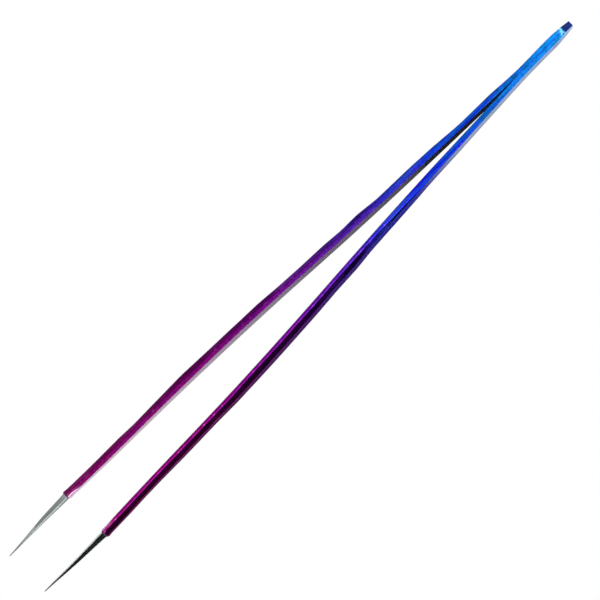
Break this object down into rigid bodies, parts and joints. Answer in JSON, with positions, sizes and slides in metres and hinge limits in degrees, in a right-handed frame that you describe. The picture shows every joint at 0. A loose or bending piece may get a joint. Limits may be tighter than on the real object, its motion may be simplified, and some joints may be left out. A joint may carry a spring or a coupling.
{
  "type": "tweezers",
  "caption": "Long fine-point spring tweezers: bowed blades joined at a blunt heel, with bare ground needle points and a graded metallic coat.",
  "frame": {"origin": "centre of the heel's end face, on the joint between the two blades", "axes": "+X from the heel to the points, +Y towards the left arm, the way the arms open, +Z across the width of the blades"},
  "size_m": [0.14, 0.0114, 0.009],
  "materials": {
    "blade_steel": "satin",
    "weld_steel": "matte",
    "coat_blue": "gloss",
    "coat_violet": "gloss"
  },
  "bodies": {
    "heel": {"left_heel": "blade_steel", "right_heel": "blade_steel", "heel_welds": "weld_steel", "heel_coat": "coat_blue"},
    "left_arm": {"left_blade": "blade_steel", "left_coat": "coat_violet"},
    "right_arm": {"right_blade": "blade_steel", "right_coat": "coat_violet"}
  },
  "joints": [
    {"name": "left_arm_flex", "type": "hinge", "parent": "heel", "child": "left_arm", "pos_m": [0.02, 0.00066, 0], "axis": [0, 0, -1], "range_deg": [0, 2.1], "stiffness_Nm_per_rad": 2.4},
    {"name": "right_arm_flex", "type": "hinge", "parent": "heel", "child": "right_arm", "pos_m": [0.02, -0.00066, 0], "axis": [0, 0, 1], "range_deg": [0, 2.1], "stiffness_Nm_per_rad": 2.4}
  ],
  "couplings": [
    {"joint": "right_arm_flex", "follows": "left_arm_flex", "ratio": 1}
  ]
}
